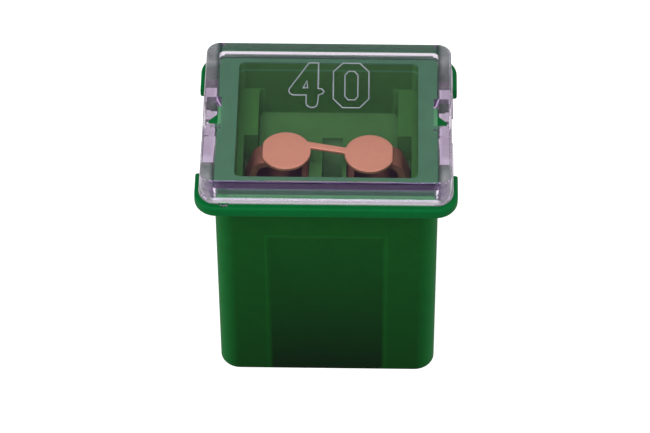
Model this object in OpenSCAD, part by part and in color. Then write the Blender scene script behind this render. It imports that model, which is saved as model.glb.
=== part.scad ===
// Low-profile plug-in cartridge fuse: a green moulded housing with a flange, two folded copper
// socket terminals pushed up from the base, a copper link welded across them, a steel spring clip
// round the contact leaves of each terminal, and a clear cover that snaps over two side catches.
// Millimetres. X runs along the long side of the flange, Y front to back, Z up from the base.

/* [Housing] */
// Width of the flange
flange_w = 15.1; // [14.9:0.1:16.5]
// Depth of the flange, front to back
flange_d = 12.3; // [12:0.1:13.5]
// Thickness of the flange
flange_t = 0.7; // [0.5:0.05:1]
// Corner radius of the flange, seen from above
flange_r = 1.3; // [0.8:0.1:2]
// Rounding of the flange edges
flange_edge = 0.16; // [0.05:0.01:0.2]
// Width of the body below the flange
body_w = 12.9; // [12.6:0.1:13]
// Depth of the body below the flange
body_d = 10.2; // [10:0.1:10.4]
// Height of the body from the base to the underside of the flange
body_h = 14.9; // [14:0.1:18]
// Radius of the four upright edges of the body
body_r = 1.2; // [0.6:0.1:1.6]
// Rounding along the bottom edge of the body
foot_edge = 0.2; // [0.05:0.05:0.4]
// Height of the collar that stands above the flange
collar_h = 0.65; // [0.5:0.05:1]
// Step from the short body faces in to the collar
collar_inset = 0.07; // [0.02:0.01:0.15]
// Step from the long body faces in to the collar
collar_inset_long = 0.25; // [0.1:0.01:0.3]
// Corner radius of the collar, seen from above
collar_r = 0.25; // [0.1:0.05:0.4]

/* [Grip panel] */
// Width of the shallow panel in the front and back faces
panel_w = 7; // [4:0.1:8]
// Height of the panel above the base
panel_h = 12.1; // [8:0.05:13]
// Width of the sloped rim at the sides and the top of the panel
panel_slope = 0.35; // [0.1:0.05:0.6]
// Depth of the panel at its top
panel_depth = 0.14; // [0.05:0.01:0.3]
// Depth of the panel at the base
panel_depth_base = 0.03; // [0.01:0.01:0.1]
// Radius of the upper corners of the panel
panel_r = 0.5; // [0.1:0.05:0.8]

/* [Cavity] */
// Wall of the mouth on the short sides
rim_side = 1.13; // [0.9:0.01:1.3]
// Wall of the mouth on the long sides
rim_front = 0.3; // [0.25:0.01:0.4]
// Corner radius of the mouth, seen from above
mouth_r = 0.35; // [0.1:0.05:0.4]
// Drop from the rim of the collar to the two side shelves
shelf_drop = 2.2; // [1.5:0.1:2.4]
// Width of each side shelf
shelf_w = 1.15; // [0.9:0.05:1.3]
// Drop from the rim of the collar to the floor of the bay
bay_drop = 4.25; // [4:0.05:5]
// Thickness of the ledge between the bay floor and the terminal pockets
ledge_t = 0.8; // [0.6:0.05:1]
// Thickness of the web between the two pockets
web_t = 2.2; // [2:0.1:2.6]
// Width of the core-out in the top of the web
core_w = 1.2; // [0.8:0.05:1.3]
// Length of the core-out, front to back
core_d = 5; // [3:0.1:6.5]
// Floor of plastic left under the core-out
core_floor = 2.5; // [1.5:0.1:6]
// Sideways offset of the core-out from the middle
core_shift = 0.25; // [0:0.05:0.4]
// Lead-in chamfer round each pocket at the base
pocket_lead = 0.3; // [0.1:0.05:0.4]

/* [Terminals] */
// Thickness of the copper strip of the terminals
strip_t = 0.4; // [0.3:0.02:0.45]
// Width of a terminal along X
box_w = 3.7; // [3.5:0.05:3.75]
// Depth of a terminal along Y, which takes a 6.3 mm blade
box_d = 7.2; // [7.1:0.05:7.6]
// Outer radius of the folded corners of a terminal
box_r = 0.6; // [0.45:0.05:0.8]
// Recess of the terminals above the base
box_recess = 0.9; // [0.5:0.1:1.5]
// Seam where the two halves of the inner wall meet
seam_w = 0.12; // [0.05:0.01:0.3]
// Free gap between the contact leaves, before a blade goes in
contact_gap = 0.6; // [0.4:0.05:0.75]
// Height of the contact line above the bottom of the terminal
contact_h = 4.2; // [3.5:0.1:5]
// Inside radius of the folds at the bottom of the leaves
hem_r = 0.2; // [0.12:0.01:0.25]
// Width of each pair of contact fingers
leaf_d = 5.6; // [4.5:0.1:6]
// Slot between two fingers
leaf_slot = 0.5; // [0.3:0.05:1]
// Length of the outward turned tip of a leaf
leaf_tip = 1.5; // [1:0.1:2]
// Bend radius where leaves and clips press on each other, to the middle of the strip
press_r = 1.2; // [0.8:0.05:1.6]
// Turn of a leaf at the contact line, as a multiple of its lean
leaf_turn = 1.5; // [1:0.1:2]
// Width of the strap that carries the link
strap_d = 1.4; // [1:0.1:1.8]
// Lean of the strap from upright, in degrees
strap_lean = 18; // [8:1:24]
// Bend radius at the foot of the strap, to the middle of the strip
strap_low_r = 0.8; // [0.4:0.05:1]
// Bend radius at the top of the strap, to the middle of the strip
strap_high_r = 0.7; // [0.4:0.05:0.8]
// Drop from the rim of the collar to the top of the link pads
pad_drop = 2.75; // [2.5:0.05:3]
// Width of the locking lance
lance_d = 1.6; // [1:0.1:2.5]
// Height of the lance's free end above the bottom of the terminal
lance_z = 5.4; // [4.5:0.1:6.5]
// Length of the lance
lance_h = 1.4; // [1:0.1:2]
// Reach of the lance's free end into the pocket wall
lance_reach = 0.25; // [0.15:0.05:0.4]

/* [Link] */
// Thickness of the link
link_t = 0.25; // [0.15:0.05:0.4]
// Diameter of the round welding pads
pad_dia = 2.95; // [2:0.05:3]
// Distance from a pad's centre to its flat outer edge
pad_flat = 1.36; // [0.9:0.02:1.4]
// Distance between the pad centres
pad_pitch = 4.92; // [4.6:0.02:5.2]
// Width of the melting strip between the pads
link_w = 0.44; // [0.3:0.02:0.8]
// Offset of the melting strip towards the back
link_shift = 0.36; // [0:0.02:0.4]
// Front to back offset of each end of the melting strip, one each way
link_skew = 0.5; // [0:0.02:0.6]
// Front to back offset of each pad from the middle, one each way
pad_skew = 0.08; // [0:0.01:0.15]

/* [Spring clips] */
// Thickness of the spring strip
clip_t = 0.2; // [0.15:0.01:0.22]
// Width of the spring strip
clip_d = 4.6; // [3:0.1:5.5]
// Height of the clip's bridge above the bottom of the terminal
clip_h = 7.6; // [7.2:0.1:8.5]
// Bend radius at the clip's shoulders, inside
clip_r = 0.3; // [0.2:0.05:0.4]
// Length of the flared ends of the clip
clip_tail = 1.4; // [0.8:0.1:1.8]

/* [Cover] */
// Wall of the cover's skirt on the short sides
skirt_side = 0.76; // [0.6:0.02:1]
// Wall of the cover's skirt on the long sides
skirt_front = 0.42; // [0.35:0.01:0.6]
// Thickness of the top plate
lid_t = 0.8; // [0.6:0.05:1.2]
// Corner radius of the cover, seen from above
cover_r = 0.8; // [0.6:0.05:1.2]
// Rounding of the top edges
lid_edge = 0.18; // [0.05:0.01:0.3]
// Height of the bead round the foot of the skirt
bead_h = 0.4; // [0.3:0.05:0.6]
// Margin of flange left outside the bead on the short sides
foot_margin = 0.24; // [0.1:0.02:0.3]
// Margin of flange left outside the bead on the long sides
foot_margin_long = 0.34; // [0.2:0.02:0.4]
// Rounding along the bottom edges of the cover
cover_foot_edge = 0.05; // [0.02:0.01:0.1]
// Width of the gap in the flange for each snap leg
gap_d = 6.8; // [5:0.1:7]
// Length of the snap legs below the skirt
leg_h = 1.4; // [1.2:0.1:2.4]
// Width of the window over each catch
window_d = 2.12; // [1.6:0.02:2.6]
// Reach of the window's shaft in over the collar
window_in = 0.24; // [0.1:0.02:0.4]
// Radius of the gate mark at the foot of the skirt
gate_r = 0.3; // [0.1:0.01:0.35]

/* [Catches] */
// Projection of the catches from the body sides
catch_out = 0.5; // [0.3:0.05:0.55]
// Height of the catch's upright nose
catch_nose = 0.2; // [0.1:0.05:0.3]
// Slope of the catch's ramp, in degrees
catch_slope = 46; // [30:1:50]
// Underside of the catch above the underside of the flange
catch_lift = 0.3; // [0.2:0.05:0.4]

/* [Fits] */
// Clearance between the cover and the collar, and of the catches under the legs
snap_fit = 0.05; // [0.02:0.01:0.1]
// Gap between the collar and the long sides of the cover
skirt_gap = 0.33; // [0.2:0.01:0.4]
// Gap between the rim of the collar and the top plate of the cover
lid_gap = 0.25; // [0.05:0.05:0.4]
// Clearance at each side of a leg in its gap, and of a catch in its window
leg_fit = 0.1; // [0.05:0.01:0.2]
// Clearance round a terminal in its pocket
pocket_fit = 0.05; // [0.02:0.01:0.1]
// Clearance round the strap in its notch
strap_fit = 0.06; // [0.03:0.01:0.15]
// Play of a spring clip against the leaves that it presses
clip_fit = 0.02; // [0.01:0.01:0.05]

/* [Hidden] */
$fn = 64;
// Facets along each bend of a strip
bend_steps = 8;
// Overshoot of cutting solids past the faces that they open
past = 0.5;

// Levels, from the base up
flange_top = body_h + flange_t;
rim_z = flange_top + collar_h;
shelf_z = rim_z - shelf_drop;
bay_z = rim_z - bay_drop;
pocket_top = bay_z - ledge_t;
pad_top = rim_z - pad_drop;
strap_top = pad_top - link_t;
ceiling_z = rim_z + lid_gap;
lid_top = ceiling_z + lid_t;
catch_z = body_h + catch_lift;

// Collar, mouth and bay
collar_w = body_w - 2 * collar_inset;
collar_d = body_d - 2 * collar_inset_long;
mouth_w = collar_w - 2 * rim_side;
mouth_d = collar_d - 2 * rim_front;
bay_w = mouth_w - 2 * shelf_w;

// Pockets and the terminals that fill them
pocket_w = box_w + 2 * pocket_fit;
pocket_d = box_d + 2 * pocket_fit;
box_x = web_t / 2 + pocket_w / 2;
box_h = pocket_top - box_recess;
notch_d = strap_d + 2 * strap_fit;
pad_x = pad_pitch / 2;
port_d = pad_dia + 2 * strap_fit;
lance_room = lance_reach + pocket_fit;
hem_z = strip_t + hem_r;

// Cover
cover_in_w = collar_w + 2 * snap_fit;
cover_in_d = collar_d + 2 * skirt_gap;
cover_w = cover_in_w + 2 * skirt_side;
cover_d = cover_in_d + 2 * skirt_front;
foot_w = flange_w - 2 * foot_margin;
foot_d = flange_d - 2 * foot_margin_long;
foot_r = flange_r - foot_margin;
bead_edge = bead_h - 2 * cover_foot_edge;
leg_in = body_w / 2 + snap_fit;
leg_d = gap_d - 2 * leg_fit;
leg_bottom = flange_top - leg_h;
catch_d = window_d - 2 * leg_fit;
catch_face = body_w / 2 + catch_out;

// Flat shapes

// Rectangle with round corners, centred
module round_rect(w, d, r) {
    square([w - 2 * r, d], center = true);
    square([w, d - 2 * r], center = true);
    for (sx = [-1, 1], sy = [-1, 1])
        translate([sx * (w / 2 - r), sy * (d / 2 - r)])
            circle(r);
}

// Upright section of a plate from its centre line out to half its width, with round edges
module half_section(half, h, low, high) {
    translate([0, low])
        square([half, h - low - high]);
    square([half - low, low * 2]);
    translate([half - low, low])
        circle(low);
    translate([0, low])
        square([half - high, h - low]);
    translate([half - high, h - high])
        intersection() {
            circle(high);
            translate([-high, low + high - h])
                square([2 * high, h - low]);
        }
}

// The same section across the whole width
module full_section(half, h, low, high) {
    half_section(half, h, low, high);
    mirror([1, 0])
        half_section(half, h, low, high);
}

// Middle line of a bent strip as [point, heading] pairs; a step is [straight length, turn, middle radius]
function walk(steps, at = [0, 0], way = 0, k = 0) =
    k == len(steps) ? [[at, way]] :
    let (
        turn = steps[k][1],
        across = sign(turn) * steps[k][2],
        corner = at + steps[k][0] * [cos(way), sin(way)],
        centre = corner + across * [-sin(way), cos(way)],
        end = way + turn
    )
    concat(
        steps[k][0] > 0 ? [[at, way]] : [],
        [if (turn != 0) for (j = [0:bend_steps - 1]) let (h = way + turn * j / bend_steps)
            [centre + across * [sin(h), -cos(h)], h]],
        walk(steps, centre + across * [sin(end), -cos(end)], end, k + 1)
    );

// Side view of a strip of thickness t bent along those steps
module strip(steps, t, at = [0, 0], way = 0) {
    line = walk(steps, at, way);
    polygon(concat(
        [for (p = line) p[0] + t / 2 * [-sin(p[1]), cos(p[1])]],
        [for (k = [len(line) - 1:-1:0]) line[k][0] - t / 2 * [-sin(line[k][1]), cos(line[k][1])]]
    ));
}

// Straight run and lean that carry a strip sideways by a and along by b to an upright bend of radius r
function lean_run(a, b, r) = sqrt((a - r) * (a - r) + b * b - r * r);
function lean_angle(a, b, r) = atan2(a - r, b) + atan2(r, lean_run(a, b, r));

// Solid shapes

// Plate with round corners and round top and bottom edges
module soft_plate(w, d, r, h, low, high) {
    for (sx = [-1, 1], sy = [-1, 1])
        translate([sx * (w / 2 - r), sy * (d / 2 - r), 0])
            rotate_extrude()
                half_section(r, h, low, high);
    rotate([90, 0, 0])
        linear_extrude(d - 2 * r, center = true)
            full_section(w / 2, h, low, high);
    rotate([90, 0, 90])
        linear_extrude(w - 2 * r, center = true)
            full_section(d / 2, h, low, high);
}

// Straight-sided plate with round corners, between two levels
module plate(w, d, r, from, to) {
    translate([0, 0, from])
        linear_extrude(to - from)
            round_rect(w, d, r);
}

// Box between two corners
module block(low, high) {
    translate(low)
        cube(high - low);
}

// Section drawn in X and Z, drawn out along Y about the middle plane
module along_y(d) {
    rotate([90, 0, 0])
        linear_extrude(d, center = true)
            children();
}

// Frustum that opens a rectangular hole by the given lead at the base
module lead_in(w, d, lead) {
    intersection() {
        along_y(d + 4 * lead)
            polygon([[-w / 2 - 2 * lead, -lead], [w / 2 + 2 * lead, -lead], [w / 2, lead], [-w / 2, lead]]);
        rotate([0, 0, 90])
            along_y(w + 4 * lead)
                polygon([[-d / 2 - 2 * lead, -lead], [d / 2 + 2 * lead, -lead],
                         [d / 2, lead], [-d / 2, lead]]);
    }
}

// Housing

// Shallow panel cut into the front face: sloped rims, deepest at its top and fading to the base
module grip_panel() {
    face = -body_d / 2;
    rise = past * panel_slope / panel_depth;
    intersection() {
        along_y(body_d + 2 * past)
            translate([0, panel_h / 2 - panel_r])
                round_rect(panel_w, panel_h + 2 * panel_r, panel_r);
        linear_extrude(2 * (panel_h + past), center = true)
            polygon([[-panel_w / 2 - rise, face - past], [panel_w / 2 + rise, face - past],
                     [panel_w / 2 - panel_slope, face + panel_depth],
                     [-panel_w / 2 + panel_slope, face + panel_depth]]);
        rotate([90, 0, 90])
            linear_extrude(panel_w + 2 * past, center = true)
                polygon([[face - past, -past], [face + panel_depth_base, -past],
                         [face + panel_depth_base, 0], [face + panel_depth, panel_h - panel_slope],
                         [face - past, panel_h + rise]]);
    }
}

// Everything that is cut for the right-hand terminal: pocket, lead-in, lance room, port under the pad,
// slot for the strap, and the side shelf cut away in front of the strap
module terminal_room() {
    translate([box_x, 0, 0]) {
        block([-pocket_w / 2, -pocket_d / 2, -past], [pocket_w / 2, pocket_d / 2, pocket_top]);
        lead_in(pocket_w, pocket_d, pocket_lead);
        block([pocket_w / 2 - past, -lance_d / 2 - strap_fit, box_recess + lance_z],
              [pocket_w / 2 + lance_room, lance_d / 2 + strap_fit, box_recess + lance_z + lance_h + past]);
    }
    block([web_t / 2, -port_d / 2, pocket_top - past], [bay_w / 2, port_d / 2, bay_z + past]);
    block([box_x, -notch_d / 2, pocket_top - past], [web_t / 2 + pocket_w, notch_d / 2, bay_z + past]);
    block([box_x, -mouth_d / 2, bay_z], [web_t / 2 + pocket_w, notch_d / 2, shelf_z + past]);
}

// Wedge on a short side that the cover's leg snaps under
module catch() {
    ramp = tan(catch_slope) * (catch_face - collar_w / 2);
    along_y(catch_d)
        polygon([[mouth_w / 2 + rim_side / 2, catch_z], [catch_face, catch_z],
                 [catch_face, catch_z + catch_nose], [collar_w / 2, catch_z + catch_nose + ramp],
                 [mouth_w / 2 + rim_side / 2, catch_z + catch_nose + ramp]]);
}

module housing() color([0.02, 0.40, 0.14]) {
    difference() {
        union() {
            soft_plate(body_w, body_d, body_r, flange_top, foot_edge, foot_edge);
            translate([0, 0, body_h])
                soft_plate(flange_w, flange_d, flange_r, flange_t, flange_edge, flange_edge);
            plate(collar_w, collar_d, collar_r, body_h, rim_z);
        }
        plate(mouth_w, mouth_d, mouth_r, shelf_z, rim_z + past);
        plate(bay_w, mouth_d, mouth_r, bay_z, rim_z);
        translate([core_shift, 0, 0])
            block([-core_w / 2, -core_d / 2, core_floor], [core_w / 2, core_d / 2, bay_z + past]);
        for (side = [0, 1])
            mirror([side, 0, 0]) {
                terminal_room();
                block([body_w / 2, -gap_d / 2, body_h - past], [flange_w, gap_d / 2, flange_top + past]);
            }
        for (turn = [0, 180])
            rotate([0, 0, turn])
                grip_panel();
    }
    for (side = [0, 1])
        mirror([side, 0, 0])
            catch();
}

// Cover

module snap_leg() {
    block([leg_in, -leg_d / 2, leg_bottom], [cover_w / 2, leg_d / 2, ceiling_z]);
}

// Opening over a catch: a shaft through the top plate and a window through the leg
module catch_window() {
    bar_top = catch_z - snap_fit;
    block([collar_w / 2 - window_in, -window_d / 2, bar_top],
          [catch_face + snap_fit, window_d / 2, lid_top + past]);
    block([collar_w / 2, -window_d / 2, bar_top], [cover_w, window_d / 2, ceiling_z]);
}

module cover() color([0.86, 0.82, 0.93, 0.35]) {
    difference() {
        union() {
            translate([0, 0, flange_top])
                soft_plate(cover_w, cover_d, cover_r, lid_top - flange_top, cover_foot_edge, lid_edge);
            translate([0, 0, flange_top])
                soft_plate(foot_w, foot_d, foot_r, bead_h, cover_foot_edge, bead_edge);
            for (side = [0, 1])
                mirror([side, 0, 0])
                    snap_leg();
            translate([-cover_w / 2 + skirt_side + 2 * gate_r, -foot_d / 2 + gate_r / 4, flange_top])
                cylinder(h = bead_h / 2, r = gate_r);
        }
        plate(cover_in_w, cover_in_d, collar_r + snap_fit, flange_top - past, ceiling_z);
        for (side = [0, 1])
            mirror([side, 0, 0])
                catch_window();
    }
}

// Terminals, drawn at the origin with the outer wall towards +X

// Contact leaf: folded in at the bottom edge, leaning to the contact line and turned out at its tip
module leaf() {
    fold_r = hem_r + strip_t / 2;
    wall = box_w / 2 - strip_t / 2;
    inward = wall - 2 * fold_r - strip_t / 2 - contact_gap / 2;
    upward = contact_h - strip_t / 2 - fold_r;
    lean = lean_angle(inward, upward, press_r - fold_r);
    run = lean_run(inward, upward, press_r - fold_r);
    along_y(leaf_d)
        translate([wall, hem_z + strip_t])
            rotate(-90)
                strip([[strip_t, -180 + lean, fold_r], [run, -leaf_turn * lean, press_r], [leaf_tip, 0, 0]],
                      strip_t);
}

// Strap: rises from the outer wall, leans in and turns flat under the link pad
module strap() {
    rise = strap_top - strip_t / 2 - pocket_top;
    slope = (rise - strap_low_r * sin(strap_lean) - strap_high_r * (1 - sin(strap_lean))) / cos(strap_lean);
    flat_from = box_w / 2 - strip_t / 2 - strap_low_r * (1 - cos(strap_lean)) - slope * sin(strap_lean)
        - strap_high_r * cos(strap_lean);
    flat_to = pad_x - box_x;
    root = strip_t;
    along_y(strap_d)
        translate([box_w / 2 - strip_t / 2, box_h - root])
            rotate(90)
                strip([[root, strap_lean, strap_low_r], [slope, 90 - strap_lean, strap_high_r],
                       [flat_from - flat_to, 0, 0]], strip_t);
    translate([flat_to, 0, box_h + rise - strip_t / 2])
        cylinder(h = strip_t, d = strap_d);
}

// Lance: a tongue of the outer wall that leans out and stands on the pocket's step
module lance() {
    lean = asin(lance_reach / lance_h);
    translate([box_w / 2 - strip_t, 0, lance_z + pocket_fit])
        along_y(lance_d)
            polygon([[lance_reach, 0], [strip_t + lance_reach, 0], [strip_t, lance_h * cos(lean)],
                     [strip_t, lance_h + strip_t], [0, lance_h + strip_t], [0, lance_h * cos(lean)]]);
}

module terminal() {
    difference() {
        plate(box_w, box_d, box_r, hem_z, box_h);
        plate(box_w - 2 * strip_t, box_d - 2 * strip_t, box_r - strip_t, -past, box_h + past);
        block([-box_w, -seam_w / 2, -past], [0, seam_w / 2, box_h + past]);
        block([0, -lance_d / 2 - strip_t / 2, lance_z - strip_t / 2],
              [box_w, lance_d / 2 + strip_t / 2, lance_z + lance_h]);
    }
    difference() {
        for (side = [0, 1])
            mirror([side, 0, 0])
                leaf();
        block([-box_w, -leaf_slot / 2, -past], [box_w, leaf_slot / 2, contact_h + 2 * leaf_tip]);
    }
    lance();
    strap();
}

module right_terminal() color([0.72, 0.43, 0.32])
    translate([box_x, 0, box_recess])
        terminal();

module left_terminal() color([0.72, 0.43, 0.32])
    mirror([1, 0, 0])
        translate([box_x, 0, box_recess])
            terminal();

// Link

// Two round pads on the straps, each with a flat outer edge, joined by the narrow strip that melts
module fuse_link() color([0.76, 0.47, 0.37])
    translate([0, 0, strap_top])
        linear_extrude(link_t) {
            for (side = [-1, 1])
                translate([side * pad_x, -side * pad_skew])
                    intersection() {
                        circle(d = pad_dia);
                        translate([side * (pad_flat - pad_dia), 0])
                            square(2 * pad_dia, center = true);
                    }
            translate([0, link_shift])
                polygon([[-pad_x, link_skew + link_w / 2], [-pad_x, link_skew - link_w / 2],
                         [pad_x, -link_skew - link_w / 2], [pad_x, -link_skew + link_w / 2]]);
        }

// Spring clips

// Inverted U of spring strip that straddles the leaves and presses them at the contact line
module spring_clip() {
    mid_r = clip_r + clip_t / 2;
    shoulder = box_w / 2 - strip_t - clip_t - mid_r;
    inward = shoulder + mid_r - (contact_gap / 2 + strip_t + clip_fit + clip_t / 2);
    downward = clip_h - clip_t / 2 - mid_r - contact_h;
    lean = lean_angle(inward, downward, mid_r + press_r);
    run = lean_run(inward, downward, mid_r + press_r);
    leg = [[clip_tail, 2 * lean, press_r], [run, -90 - lean, mid_r]];
    climb = walk(leg, [0, 0], 90 - lean);
    tail_end = [-shoulder, clip_h - clip_t / 2] - climb[len(climb) - 1][0];
    along_y(clip_d)
        strip([each leg, [2 * shoulder, -90 - lean, mid_r], [run, 2 * lean, press_r], [clip_tail, 0, 0]],
              clip_t, tail_end, 90 - lean);
}

module right_spring_clip() color([0.75, 0.76, 0.78])
    translate([box_x, 0, box_recess])
        spring_clip();

module left_spring_clip() color([0.75, 0.76, 0.78])
    mirror([1, 0, 0])
        translate([box_x, 0, box_recess])
            spring_clip();

housing();
cover();
left_terminal();
right_terminal();
fuse_link();
left_spring_clip();
right_spring_clip();
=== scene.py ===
import bpy
import math
from mathutils import Matrix, Vector


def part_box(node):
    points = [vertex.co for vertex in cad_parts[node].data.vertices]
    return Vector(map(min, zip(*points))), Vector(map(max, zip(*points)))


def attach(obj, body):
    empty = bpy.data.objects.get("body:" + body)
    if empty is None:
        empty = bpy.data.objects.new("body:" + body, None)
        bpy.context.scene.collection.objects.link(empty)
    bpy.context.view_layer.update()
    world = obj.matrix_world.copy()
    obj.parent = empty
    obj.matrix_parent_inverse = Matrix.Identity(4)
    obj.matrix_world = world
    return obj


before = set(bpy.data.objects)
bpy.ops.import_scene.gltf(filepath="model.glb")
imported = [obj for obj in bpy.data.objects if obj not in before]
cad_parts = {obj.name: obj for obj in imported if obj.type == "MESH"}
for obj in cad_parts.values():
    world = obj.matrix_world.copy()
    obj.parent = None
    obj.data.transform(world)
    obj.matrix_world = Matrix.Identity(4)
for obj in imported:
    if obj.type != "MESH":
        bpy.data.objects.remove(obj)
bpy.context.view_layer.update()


# Housing
# One injection moulding of dark green polyamide, lightly textured, with a shallow panel in each long face.
# Everything else is pushed into it or snapped onto it.

# Sizes are in millimetres from the middle of the base, and colours are linear.
MM = 0.001
LONG_FACE = 5.1
END_FACE = 6.45
PANEL_HALF = 3.5
PANEL_TOP = 12.1
PANEL_REACH = 0.2
FLANGE_UNDER = 14.9
FLANGE_TOP = 15.6
FOOT = (6.3, 5.75)
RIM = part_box("housing")[1].z / MM
MOUTH = (5.3, 4.6)
BAY_FLOOR = 12.0
FADE = 0.05
# Painted shade: the next three greens darken the long faces and the base below the plastic's own green,
# most towards the base and down the panel. The ends and the flange keep the plastic's own green.
SHADED_BASE_GREEN = (0.0010, 0.025, 0.0028, 1)
SHADED_FACE_GREEN = (0.0035, 0.049, 0.0072, 1)
SHADED_PANEL_GREEN = (0.0003, 0.006, 0.0012, 1)
END_GREEN = (0.0010, 0.070, 0.0110, 1)
FLANGE_GREEN = (0.0010, 0.074, 0.0158, 1)
# Painted light and painted reflection: the strip of flange under the cover's foot is painted pale and
# bright.
FOOT_LIGHT_GREEN = (0.070, 0.260, 0.095, 1)
# Painted reflection: the rim's top is painted pale, as the cover's haze over it.
RIM_REFLECTION_GREEN = (0.070, 0.205, 0.100, 1)
# Painted light: the inside of the mouth is painted brighter than the plastic's own green, and its pockets
# brighter still, in place of light that reaches into them.
LIT_INSIDE_GREEN = (0.052, 0.188, 0.038, 1)
LIT_POCKET_GREEN = (0.220, 0.500, 0.190, 1)


def new_finish(name, **sockets):
    """A node material whose shader's own sockets are set by name, with _ for each blank."""
    finish = bpy.data.materials.new(name)
    finish.use_nodes = True
    for socket, value in sockets.items():
        shader_of(finish).inputs[socket.replace("_", " ")].default_value = value
    return finish


def shader_of(finish):
    """The shader that every finish is built on."""
    return finish.node_tree.nodes["Principled BSDF"]


def add_node(finish, kind, properties=None, **sockets):
    """A new node in a finish, or in the world: its properties, and its input sockets by name."""
    node = finish.node_tree.nodes.new("ShaderNode" + kind)
    for name, value in (properties or {}).items():
        setattr(node, name, value)
    for socket, value in sockets.items():
        node.inputs[socket.replace("_", " ")].default_value = value
    return node


def join(finish, source, target):
    """Feeds a socket from another one, or sets it to a plain value."""
    if isinstance(source, bpy.types.NodeSocket):
        finish.node_tree.links.new(source, target)
    else:
        target.default_value = source


def feed(finish, socket, source):
    """Feeds a socket of the finish's own shader."""
    join(finish, source, shader_of(finish).inputs[socket])


def mottle(finish, grain, stretch=(1, 1, 1)):
    """Noise in the frame's own coordinates, with grains of about that many millimetres."""
    place = add_node(finish, "TexCoord")
    squeeze = add_node(finish, "Mapping", Scale=stretch)
    noise = add_node(finish, "TexNoise", Scale=1 / (grain * MM), Detail=3.0, Roughness=0.6)
    join(finish, place.outputs["Object"], squeeze.inputs["Vector"])
    join(finish, squeeze.outputs["Vector"], noise.inputs["Vector"])
    return noise.outputs["Fac"]


def reckon(finish, operation, first, second=0.0):
    """One step of arithmetic on one or two values."""
    step = add_node(finish, "Math", {"operation": operation})
    join(finish, first, step.inputs[0])
    join(finish, second, step.inputs[1])
    return step.outputs[0]


def where_all(finish, *masks):
    """The place where all the masks hold, as the product of their 0 to 1 values."""
    place = masks[0]
    for mask in masks[1:]:
        place = reckon(finish, "MULTIPLY", place, mask)
    return place


def ramp(finish, axis, start, end, both_sides=False):
    """0 to 1 as the X, Y or Z coordinate goes from start to end, in millimetres."""
    place = add_node(finish, "TexCoord")
    split = add_node(finish, "SeparateXYZ")
    step = add_node(finish, "MapRange", From_Min=start * MM, From_Max=end * MM)
    join(finish, place.outputs["Object"], split.inputs["Vector"])
    reach = split.outputs[axis]
    if both_sides:
        reach = reckon(finish, "ABSOLUTE", reach)
    join(finish, reach, step.inputs["Value"])
    return step.outputs["Result"]


def spread(finish, value, low, high):
    """Maps a 0 to 1 value to the range from low to high."""
    step = add_node(finish, "MapRange", To_Min=low, To_Max=high)
    join(finish, value, step.inputs["Value"])
    return step.outputs["Result"]


def tint(finish, value, first, second):
    """Colour between two colours, by a 0 to 1 value."""
    mix = add_node(finish, "Mix", {"data_type": "RGBA"})
    join(finish, value, mix.inputs[0])
    join(finish, first, mix.inputs[6])
    join(finish, second, mix.inputs[7])
    return mix.outputs[2]


def shade(finish, colour, value, low, high):
    """Darkens or brightens a colour by a 0 to 1 value, from low to high."""
    level = spread(finish, value, low, high)
    step = add_node(finish, "VectorMath", {"operation": "SCALE"})
    join(finish, colour, step.inputs["Vector"])
    join(finish, level, step.inputs["Scale"])
    return step.outputs["Vector"]


def roughen(finish, height, depth):
    """Bump of that depth in millimetres, from a 0 to 1 height."""
    bump = add_node(finish, "Bump", Strength=1.0, Distance=depth * MM)
    join(finish, height, bump.inputs["Height"])
    feed(finish, "Normal", bump.outputs["Normal"])


def wear(node, finish):
    """Gives a CAD node that finish."""
    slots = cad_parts[node].data.materials
    slots.clear()
    slots.append(finish)


def ease_edges(node, width, shrink=0.0):
    """Rounds the sharp edges of a CAD node a little, as moulding and stamping leave them."""
    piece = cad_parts[node]
    piece.data.shade_smooth()
    weld = piece.modifiers.new("weld", "WELD")
    weld.merge_threshold = 0.0008 * MM
    if shrink:
        inset = piece.modifiers.new("inset", "DISPLACE")
        inset.mid_level = 0
        inset.strength = -shrink * MM
    flat = piece.modifiers.new("flat_faces", "DECIMATE")
    flat.decimate_type = "DISSOLVE"
    flat.angle_limit = math.radians(0.2)
    bevel = piece.modifiers.new("eased_edges", "BEVEL")
    bevel.width = width * MM
    bevel.segments = 2
    bevel.limit_method = "ANGLE"
    bevel.angle_limit = math.radians(32)
    piece.modifiers.new("even_shading", "WEIGHTED_NORMAL")


green_plastic = new_finish("green_plastic", Specular_IOR_Level=0.03)


def within_panel(margin):
    """The long faces inside the outline of the panel, less a margin in millimetres."""
    half = PANEL_HALF - margin
    top = PANEL_TOP - margin
    face = LONG_FACE - PANEL_REACH
    return where_all(green_plastic,
                     ramp(green_plastic, "X", half + FADE, half - FADE, both_sides=True),
                     ramp(green_plastic, "Z", top + FADE, top - FADE),
                     ramp(green_plastic, "Y", face - FADE, face, both_sides=True))


# Painted shade: 0 at the base to 1 just under the flange, to darken the long faces towards the base.
lighter_up_body = ramp(green_plastic, "Z", 0, FLANGE_UNDER - 1)
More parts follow.
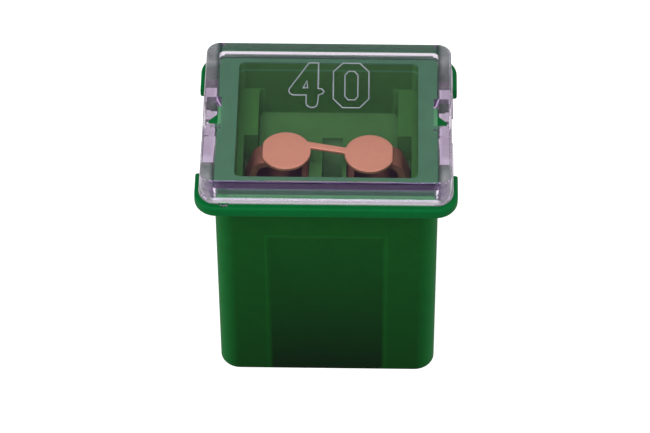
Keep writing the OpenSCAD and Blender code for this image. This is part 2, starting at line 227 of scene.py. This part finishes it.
# A painted highlight: a thin line round the panel's outline is made a quarter brighter.
panel_edge_highlight = reckon(green_plastic, "SUBTRACT", within_panel(-0.1), within_panel(0.05))
on_ends = ramp(green_plastic, "X", END_FACE - 1.1, END_FACE - 0.2, both_sides=True)
on_flange = ramp(green_plastic, "Z", FLANGE_UNDER - 0.4, FLANGE_UNDER + 0.1)
in_mouth = where_all(green_plastic,
                     ramp(green_plastic, "X", MOUTH[0] + 0.02, MOUTH[0], both_sides=True),
                     ramp(green_plastic, "Y", MOUTH[1] + 0.02, MOUTH[1], both_sides=True))
in_pockets = ramp(green_plastic, "Z", BAY_FLOOR + 0.1, BAY_FLOOR - 0.6)
on_rim = ramp(green_plastic, "Z", RIM - 0.15, RIM - 0.05)
under_foot = where_all(green_plastic,
                       ramp(green_plastic, "X", FOOT[0] + 0.04, FOOT[0], both_sides=True),
                       ramp(green_plastic, "Y", FOOT[1] + 0.04, FOOT[1], both_sides=True),
                       ramp(green_plastic, "Z", FLANGE_TOP - 2 * FADE, FLANGE_TOP - FADE),
                       ramp(green_plastic, "Z", FLANGE_TOP + 2 * FADE, FLANGE_TOP + FADE))
# Painted shade first: the long faces darken towards the base, the panel most. Then a painted highlight
# rings the panel, painted light brightens the mouth, its pockets and the flange under the cover's foot,
# and a painted reflection pales the rim.
green = tint(green_plastic, within_panel(0.2), SHADED_BASE_GREEN, SHADED_PANEL_GREEN)
green = tint(green_plastic, lighter_up_body, green, SHADED_FACE_GREEN)
green = shade(green_plastic, green, panel_edge_highlight, 1.0, 1.25)
green = tint(green_plastic, on_ends, green, END_GREEN)
green = tint(green_plastic, on_flange, green, FLANGE_GREEN)
green = tint(green_plastic, in_mouth, green, tint(green_plastic, in_pockets, LIT_INSIDE_GREEN, LIT_POCKET_GREEN))
green = tint(green_plastic, on_rim, green, RIM_REFLECTION_GREEN)
green = tint(green_plastic, under_foot, green, FOOT_LIGHT_GREEN)
feed(green_plastic, "Base Color", shade(green_plastic, green, mottle(green_plastic, 0.9), 0.85, 1.15))
feed(green_plastic, "Roughness", spread(green_plastic, mottle(green_plastic, 0.2), 0.48, 0.64))
roughen(green_plastic, mottle(green_plastic, 0.12), 0.004)
ease_edges("housing", 0.04)
wear("housing", green_plastic)


# Terminals
# Two socket boxes folded from rolled copper strip, pushed up into the housing from below until a lance
# locks them. Each carries a strap that leans in to hold one end of the link.

COPPER = (0.66, 0.30, 0.19, 1)
COPPER_DULL = (0.42, 0.18, 0.11, 1)


def rolled_copper(name, bright, dull, roughness):
    """Bare copper with fine rolling streaks along X and a cloudy tarnish."""
    finish = new_finish(name, Metallic=0.6)
    feed(finish, "Base Color", tint(finish, mottle(finish, 0.5), dull, bright))
    feed(finish, "Roughness", spread(finish, mottle(finish, 0.15), roughness - 0.08, roughness + 0.08))
    roughen(finish, mottle(finish, 0.06, stretch=(0.15, 1, 1)), 0.003)
    return finish


strip_copper = rolled_copper("strip_copper", COPPER, COPPER_DULL, 0.42)
for terminal in ("left_terminal", "right_terminal"):
    ease_edges(terminal, 0.04)
    wear(terminal, strip_copper)


# Spring clips
# Stainless strip bent to an inverted U and pushed over the contact leaves of each terminal, which it
# presses against the blade.

STEEL = (0.64, 0.65, 0.67, 1)
STEEL_DULL = (0.5, 0.51, 0.53, 1)

spring_steel = new_finish("spring_steel", Metallic=1.0)
feed(spring_steel, "Base Color", tint(spring_steel, mottle(spring_steel, 0.3), STEEL_DULL, STEEL))
feed(spring_steel, "Roughness", spread(spring_steel, mottle(spring_steel, 0.1), 0.25, 0.4))
for clip in ("left_spring_clip", "right_spring_clip"):
    ease_edges(clip, 0.03)
    wear(clip, spring_steel)


# Link
# Stamped from thin copper sheet and welded at its round ends to the two straps. The narrow strip between
# them is what melts.

LINK_COPPER = (0.96, 0.48, 0.285, 1)
LINK_COPPER_DULL = (0.88, 0.42, 0.245, 1)

link_copper = rolled_copper("link_copper", LINK_COPPER, LINK_COPPER_DULL, 0.55)
ease_edges("fuse_link", 0.06)
wear("fuse_link", link_copper)


# Cover
# Clear polycarbonate with a faint violet tint, moulded as a cap that snaps over the two catches. It is
# drawn in by a hair, so that air and not plastic meets the flange.

COLLAR_HALF = (6.38, 4.85)
WALL_FACE = 5.6
BEAD_FACE = 5.81
LEG_HALF = 3.4
AIR = 0.008
CLEAR = (0.98, 0.97, 0.985, 1)
CLEAR_LEGS = (0.62, 0.59, 0.61, 1)
CLEAR_SHADOW = (0.94, 0.93, 0.94, 1)
VIOLET = (0.3, 0.067, 0.433, 1)
VIOLET_DENSITY = 300.0
VIOLET_SHINE = (0.5, 0.36, 0.7, 1)
REFRACTION = 1.585
BEAD_FROST = 0.25
SIDE_FROST = 0.2
BACK_SHARE = 0.1

clear_plastic = new_finish("clear_plastic", IOR=REFRACTION, Specular_Tint=VIOLET_SHINE)
beside_collar = ramp(clear_plastic, "X", COLLAR_HALF[0], COLLAR_HALF[0] + 0.3, both_sides=True)
behind_collar = ramp(clear_plastic, "Y", COLLAR_HALF[1], COLLAR_HALF[1] + 0.3)
on_legs = where_all(clear_plastic, beside_collar,
                    ramp(clear_plastic, "Y", LEG_HALF + 0.4, LEG_HALF, both_sides=True))
on_bead = where_all(clear_plastic,
                    ramp(clear_plastic, "X", COLLAR_HALF[0] + 0.4, COLLAR_HALF[0], both_sides=True),
                    ramp(clear_plastic, "Y", WALL_FACE + 0.01, WALL_FACE + 0.05, both_sides=True),
                    ramp(clear_plastic, "Y", BEAD_FACE + 0.03, BEAD_FACE, both_sides=True),
                    ramp(clear_plastic, "Z", FLANGE_TOP + 0.05, FLANGE_TOP + 0.12))
on_back = spread(clear_plastic, behind_collar, 0, BACK_SHARE)
on_skirt = reckon(clear_plastic, "MAXIMUM", beside_collar, on_back)
haze = where_all(clear_plastic, on_skirt, spread(clear_plastic, mottle(clear_plastic, 0.7), 0, SIDE_FROST))
frost = reckon(clear_plastic, "MAXIMUM", haze, reckon(clear_plastic, "MULTIPLY", on_bead, BEAD_FROST))
feed(clear_plastic, "Base Color", tint(clear_plastic, on_legs, CLEAR, CLEAR_LEGS))
feed(clear_plastic, "Roughness", spread(clear_plastic, mottle(clear_plastic, 0.6), 0, 0.04))
feed(clear_plastic, "Transmission Weight", reckon(clear_plastic, "SUBTRACT", 1.0, frost))
violet = add_node(clear_plastic, "VolumeAbsorption", Color=VIOLET, Density=VIOLET_DENSITY)
cover_out = clear_plastic.node_tree.nodes["Material Output"]
join(clear_plastic, violet.outputs["Volume"], cover_out.inputs["Volume"])

# Lamp light and bounced light pass straight through, so that what lies under the cover is lit.
rays = add_node(clear_plastic, "LightPath")
passing = reckon(clear_plastic, "MAXIMUM", rays.outputs["Is Shadow Ray"], rays.outputs["Is Diffuse Ray"])
see_through = add_node(clear_plastic, "BsdfTransparent", Color=CLEAR_SHADOW)
cover_mix = add_node(clear_plastic, "MixShader")
join(clear_plastic, passing, cover_mix.inputs["Fac"])
join(clear_plastic, shader_of(clear_plastic).outputs["BSDF"], cover_mix.inputs[1])
join(clear_plastic, see_through.outputs["BSDF"], cover_mix.inputs[2])
join(clear_plastic, cover_mix.outputs["Shader"], cover_out.inputs["Surface"])
ease_edges("cover", 0.03, shrink=AIR)
wear("cover", clear_plastic)


# Rating digits
# The rating in amperes stands a few hundredths of a millimetre proud of the cover's top, moulded with it;
# only the edges of the digits catch the light, so each outline is a low ridge.

LID_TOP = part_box("cover")[1].z / MM
EDGE_W = 0.085
EDGE_H = 0.05
EDGE_PROFILE = ((-1, 0), (-0.55, 0.75), (0, 1), (0.55, 0.75), (1, 0))
# Painted highlight: the ridges' grey, partly clouded plastic stands in for the light that the digits'
# edges catch.
EDGE_HIGHLIGHT_GREY = (0.36, 0.41, 0.45, 1)
FOUR = ((-1.15, 3.88), (-0.58, 3.88), (-0.57, 1.82), (-0.34, 1.76), (-0.22, 1.58), (-0.31, 1.39),
        (-0.54, 1.29), (-0.59, 0.57), (-0.66, 0.37), (-0.81, 0.28), (-1.01, 0.29), (-1.19, 0.44),
        (-1.25, 0.64), (-1.25, 1.27), (-2.02, 1.27), (-2.19, 1.39), (-2.27, 1.59), (-2.23, 1.79))
FOUR_EYE = ((-1.24, 2.43), (-1.44, 1.85), (-1.18, 1.86))
ZERO = ((0.30, 3.20), (0.32, 1.00), (0.87, 0.29), (1.85, 0.29), (2.38, 1.00), (2.37, 3.20), (1.84, 3.88),
        (0.84, 3.88))
ZERO_EYE = ((0.97, 2.90), (0.99, 1.22), (1.18, 0.92), (1.57, 0.92), (1.74, 1.18), (1.73, 2.93),
            (1.52, 3.22), (1.17, 3.22))


def ridge(loop, points, faces):
    """Adds a closed ridge along a line on top of the cover, with the profile's points at each corner."""
    first = len(points)
    count = len(EDGE_PROFILE)
    corners = [Vector(corner) for corner in loop]
    for k, corner in enumerate(corners):
        into = (corner - corners[k - 1]).normalized()
        out = (corners[(k + 1) % len(corners)] - corner).normalized()
        bisector = Vector((-into.y - out.y, into.x + out.x)).normalized()
        reach = EDGE_W / 2 / max(0.5, bisector.dot(Vector((-into.y, into.x))))
        for sideways, up in EDGE_PROFILE:
            spot = corner + sideways * reach * bisector
            points.append(Vector((spot.x, spot.y, LID_TOP + up * EDGE_H)) * MM)
    for k in range(len(corners)):
        here = first + count * k
        there = first + count * ((k + 1) % len(corners))
        for j in range(count):
            after = (j + 1) % count
            faces.append((here + j, there + j, there + after, here + after))


edge_points = []
edge_faces = []
for outline in (FOUR, FOUR_EYE, ZERO, ZERO_EYE):
    ridge(outline, edge_points, edge_faces)
digit_mesh = bpy.data.meshes.new("rating_digits")
digit_mesh.from_pydata(edge_points, [], edge_faces)
digit_mesh.shade_smooth()
digits = bpy.data.objects.new("rating_digits", digit_mesh)
bpy.context.scene.collection.objects.link(digits)
edge_highlight_plastic = new_finish("edge_highlight_plastic", Base_Color=EDGE_HIGHLIGHT_GREY, Transmission_Weight=0.6, IOR=REFRACTION)
feed(edge_highlight_plastic, "Roughness", spread(edge_highlight_plastic, mottle(edge_highlight_plastic, 0.3), 0.3, 0.6))
digits.data.materials.append(edge_highlight_plastic)
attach(digits, "root")


# Stage
# A pale table under soft lamps, with more glow from the front than from the back, and the camera where the
# photograph was taken from.

FLOOR_HALF = 3.0
FLOOR_GREY = (0.3, 0.3, 0.3, 1)
FLOOR_GLOW = 0.85
FRONT_GLOW = (0.66, 0.64, 0.67, 1)
BACK_GLOW = (0.2, 0.2, 0.21, 1)

bpy.ops.mesh.primitive_plane_add(size=2 * FLOOR_HALF, location=(0, 0, 0))
table = bpy.context.object
table.name = "table"
table_white = new_finish("table_white", Base_Color=FLOOR_GREY, Roughness=1.0, Specular_IOR_Level=0.0,
                         Emission_Color=(1, 1, 1, 1))
rays = add_node(table_white, "LightPath")
mirrored = reckon(table_white, "MAXIMUM",
                  rays.outputs["Is Glossy Ray"], rays.outputs["Is Transmission Ray"])
seen = reckon(table_white, "MAXIMUM", rays.outputs["Is Camera Ray"], mirrored)
feed(table_white, "Emission Strength", reckon(table_white, "MULTIPLY", seen, FLOOR_GLOW))
table.data.materials.append(table_white)

# The world's coordinate is the direction of a ray, of length 1, so its limits are divided by MM for ramp.
world = bpy.data.worlds.new("studio")
world.use_nodes = True
to_back = ramp(world, "Y", -0.7 / MM, 0.4 / MM)
glow = tint(world, to_back, FRONT_GLOW, BACK_GLOW)
join(world, glow, world.node_tree.nodes["Background"].inputs["Color"])
bpy.context.scene.world = world


def softbox(name, place, aim, size, watts):
    """A square lamp at a place in millimetres, turned to face a point and not seen through the cover."""
    lamp = bpy.data.lights.new(name, "AREA")
    lamp.shape = "SQUARE"
    lamp.size = size * MM
    lamp.energy = watts
    holder = bpy.data.objects.new(name, lamp)
    bpy.context.scene.collection.objects.link(holder)
    holder.location = Vector(place) * MM
    holder.rotation_euler = (Vector(aim) - Vector(place)).to_track_quat("-Z", "Y").to_euler()
    holder.visible_transmission = False


softbox("top_lamp", place=(-10, -30, 140), aim=(0, 0, 12), size=90, watts=0.135)
softbox("front_lamp", place=(-15, -105, 130), aim=(0, 0, 12), size=90, watts=0.12)
softbox("left_lamp", place=(-120, -35, 25), aim=(0, 0, 8), size=80, watts=0.17)
softbox("right_lamp", place=(120, -35, 25), aim=(0, 0, 8), size=80, watts=0.11)
softbox("back_lamp", place=(60, 120, 70), aim=(0, 0, 8), size=90, watts=0.07)

PHOTO_W = 650
FOCAL_PX = 3351.0
CAMERA_RISE = math.radians(48.17)
CAMERA_TURN = math.radians(1.393)
CAMERA_ROLL = math.radians(-0.42)
CAMERA_SHIFT = (0.1815, 1.205)
CAMERA_DISTANCE = 198.875
LOOK_AT = Vector((0, 0, 10))
LIGHT_BOUNCES = 24

across = Vector((math.cos(CAMERA_TURN), math.sin(CAMERA_TURN), 0))
level = Vector((-math.sin(CAMERA_TURN), math.cos(CAMERA_TURN), 0))
ahead = level * math.cos(CAMERA_RISE) - Vector((0, 0, math.sin(CAMERA_RISE)))
upward = level * math.sin(CAMERA_RISE) + Vector((0, 0, math.cos(CAMERA_RISE)))
stand = LOOK_AT - CAMERA_DISTANCE * ahead - CAMERA_SHIFT[0] * across - CAMERA_SHIFT[1] * upward
camera_x = math.cos(CAMERA_ROLL) * across + math.sin(CAMERA_ROLL) * upward
camera_y = math.cos(CAMERA_ROLL) * upward - math.sin(CAMERA_ROLL) * across
turned = Matrix((camera_x, camera_y, -ahead)).transposed().to_4x4()
lens = bpy.data.cameras.new("camera")
lens.sensor_width = 36
lens.lens = FOCAL_PX / PHOTO_W * lens.sensor_width
lens.clip_start = 0.01
camera = bpy.data.objects.new("camera", lens)
bpy.context.scene.collection.objects.link(camera)
camera.matrix_world = Matrix.Translation(stand * MM) @ turned
bpy.context.scene.camera = camera
bpy.context.scene.view_settings.view_transform = "Standard"
for limit in ("max_bounces", "glossy_bounces", "transmission_bounces"):
    setattr(bpy.context.scene.cycles, limit, LIGHT_BOUNCES)
